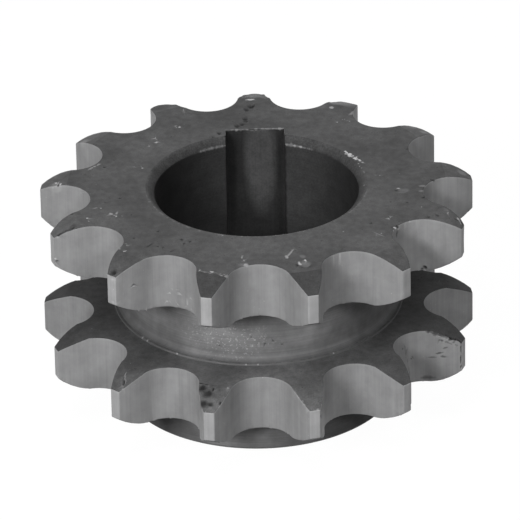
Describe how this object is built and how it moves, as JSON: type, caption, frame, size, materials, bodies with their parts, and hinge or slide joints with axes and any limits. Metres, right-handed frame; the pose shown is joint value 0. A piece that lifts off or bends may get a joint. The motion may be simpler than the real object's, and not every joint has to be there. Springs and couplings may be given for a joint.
{
  "type": "chain sprocket",
  "caption": "Duplex roller-chain sprocket with side-relieved teeth, a necked groove between its rows, a short plain boss and a keyed bore.",
  "frame": {"origin": "on the axis of the bore, at the lower end face of the hub boss; the box is centred there to within 0.7 mm, since an odd tooth count reaches further to one side", "axes": "+Z along the bore, from the boss to the toothed end; +Y to the keyway and the tooth in line with it"},
  "size_m": [0.1168, 0.116, 0.0608],
  "materials": {
    "steel": "dark hot-rolled and heat-treated scale on the faces, lighter cut steel on the tooth flanks, neck and tips"
  },
  "bodies": {
    "root": {"sprocket": "steel"}
  },
  "joints": []
}
